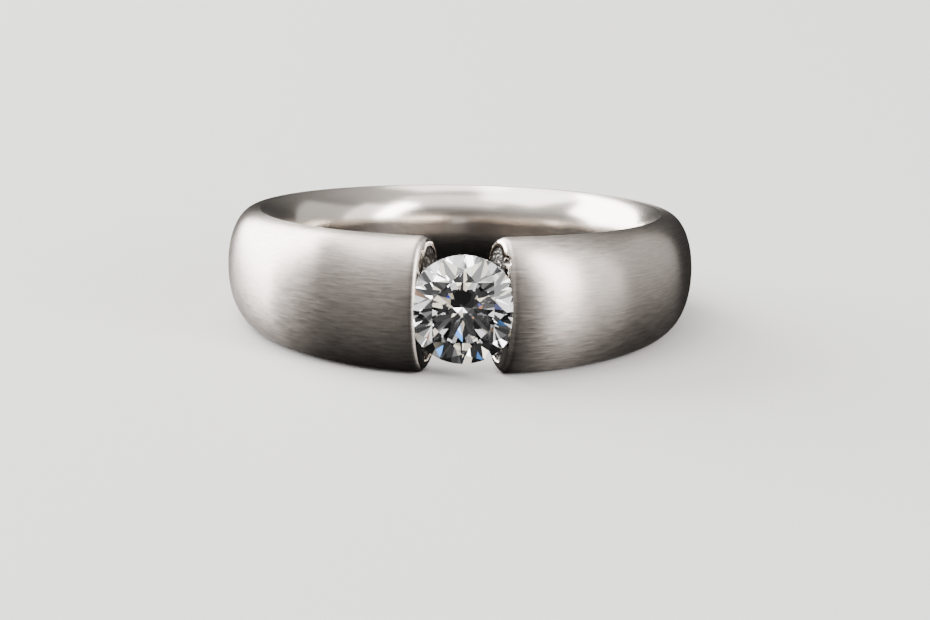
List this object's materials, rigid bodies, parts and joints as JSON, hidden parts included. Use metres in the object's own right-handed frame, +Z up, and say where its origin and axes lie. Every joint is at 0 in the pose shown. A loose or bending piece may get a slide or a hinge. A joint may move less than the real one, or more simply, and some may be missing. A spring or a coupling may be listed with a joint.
{
  "type": "tension set ring",
  "caption": "Domed finger ring of brushed white metal lying on its side, open at the front, where its splayed ends grip a round brilliant stone by the girdle.",
  "frame": {"origin": "centre of the ring's outline, on the surface that it lies on", "axes": "+Z up, -Y the way the stone faces, +X to the right of someone who looks at the stone"},
  "size_m": [0.0222, 0.0221, 0.0064],
  "materials": {
    "white_gold": "satin outside, polished inside",
    "diamond": "faceted"
  },
  "bodies": {
    "root": {"band": "white_gold", "stone": "diamond"}
  },
  "joints": []
}
